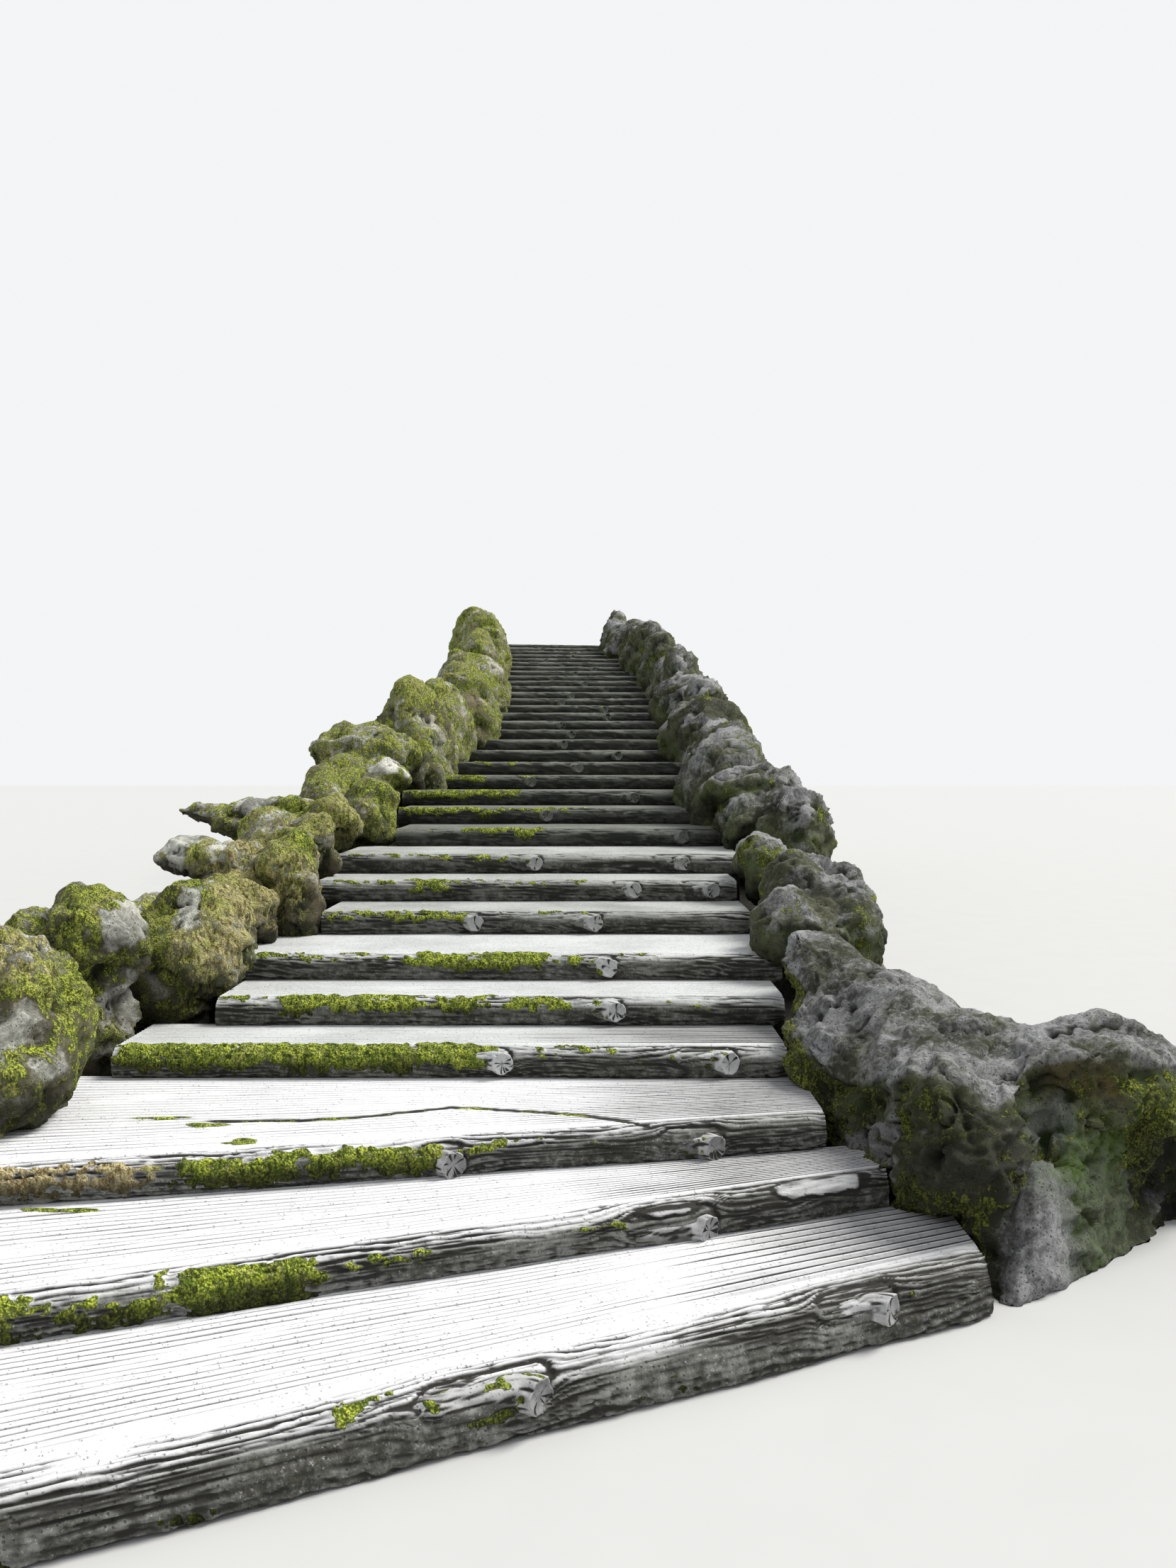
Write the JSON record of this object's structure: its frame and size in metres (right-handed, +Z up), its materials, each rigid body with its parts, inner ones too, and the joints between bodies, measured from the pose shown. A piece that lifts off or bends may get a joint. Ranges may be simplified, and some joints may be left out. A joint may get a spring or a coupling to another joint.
{
  "type": "outdoor steps in cement rustic work",
  "caption": "Long gentle outdoor flight of cast log-fronted steps with raked treads, splayed at the foot and lined on both sides with modelled rockwork boulders",
  "frame": {"origin": "on the ground at the foot of the flight, on the middle line of its straight part, just under the front of the first step", "axes": "+X to the right across the flight as one climbs, +Y uphill along the straight part, +Z up"},
  "size_m": [5.4154, 22.7801, 4.4993],
  "materials": {
    "cast_step_sunlit": "raked and weathered cement",
    "cast_step_shaded": "damp weathered cement",
    "rubble": "rough rubble masonry",
    "rockwork_mossy": "mossy modelled cement",
    "rockwork_grey": "pitted modelled cement"
  },
  "bodies": {
    "root": {"step_01": "cast_step_sunlit", "step_02": "cast_step_sunlit", "step_03": "cast_step_sunlit", "step_04": "cast_step_sunlit", "step_05": "cast_step_sunlit", "step_06": "cast_step_sunlit", "step_07": "cast_step_sunlit", "step_08": "cast_step_sunlit", "step_09": "cast_step_sunlit", "step_10": "cast_step_sunlit", "step_11": "cast_step_sunlit", "step_12": "cast_step_sunlit", "step_13": "cast_step_sunlit", "step_14": "cast_step_shaded", "step_15": "cast_step_shaded", "step_16": "cast_step_shaded", "step_17": "cast_step_shaded", "step_18": "cast_step_shaded", "step_19": "cast_step_shaded", "step_20": "cast_step_shaded", "step_21": "cast_step_shaded", "step_22": "cast_step_shaded", "step_23": "cast_step_shaded", "step_24": "cast_step_shaded", "step_25": "cast_step_shaded", "step_26": "cast_step_shaded", "step_27": "cast_step_shaded", "step_28": "cast_step_shaded", "step_29": "cast_step_shaded", "step_30": "cast_step_shaded", "step_31": "cast_step_shaded", "step_32": "cast_step_shaded", "step_33": "cast_step_shaded", "bed_lower": "rubble", "bed_middle": "rubble", "bed_upper": "rubble", "left_rock_1": "rockwork_mossy", "left_rock_2": "rockwork_mossy", "left_rock_3": "rockwork_mossy", "left_rock_4": "rockwork_mossy", "left_rock_5": "rockwork_mossy", "left_rock_6": "rockwork_mossy", "left_rock_7": "rockwork_mossy", "left_rocks_upper": "rockwork_mossy", "right_rock_1": "rockwork_grey", "right_rock_2": "rockwork_grey", "right_rock_3": "rockwork_grey", "right_rocks_upper": "rockwork_grey"}
  },
  "joints": []
}
